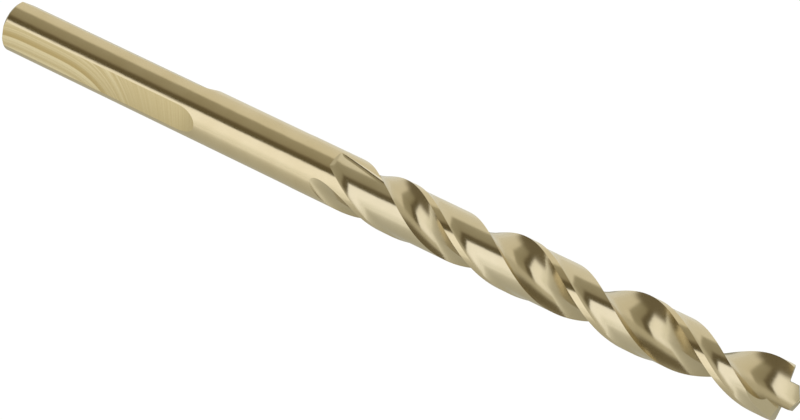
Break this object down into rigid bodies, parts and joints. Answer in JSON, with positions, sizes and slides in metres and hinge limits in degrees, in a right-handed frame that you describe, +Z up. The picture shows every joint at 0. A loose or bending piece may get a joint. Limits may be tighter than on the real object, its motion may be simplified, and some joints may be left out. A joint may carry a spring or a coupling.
{
  "type": "twist drill bit",
  "caption": "Slender twist drill for metal, wood and plastic: a round shank with jaw flats, spiral flutes that widen towards the tip, and a stepped pilot point.",
  "frame": {"origin": "centre of the shank's flat end", "axes": "+X along the drill from the shank to the point, +Z up as it lies on its side"},
  "size_m": [0.1016, 0.0064, 0.0064],
  "materials": {
    "tool_steel": "ground and hardened steel with a thin straw-gold oxide, bright where it was ground"
  },
  "bodies": {
    "root": {"twist_drill": "tool_steel"}
  },
  "joints": []
}
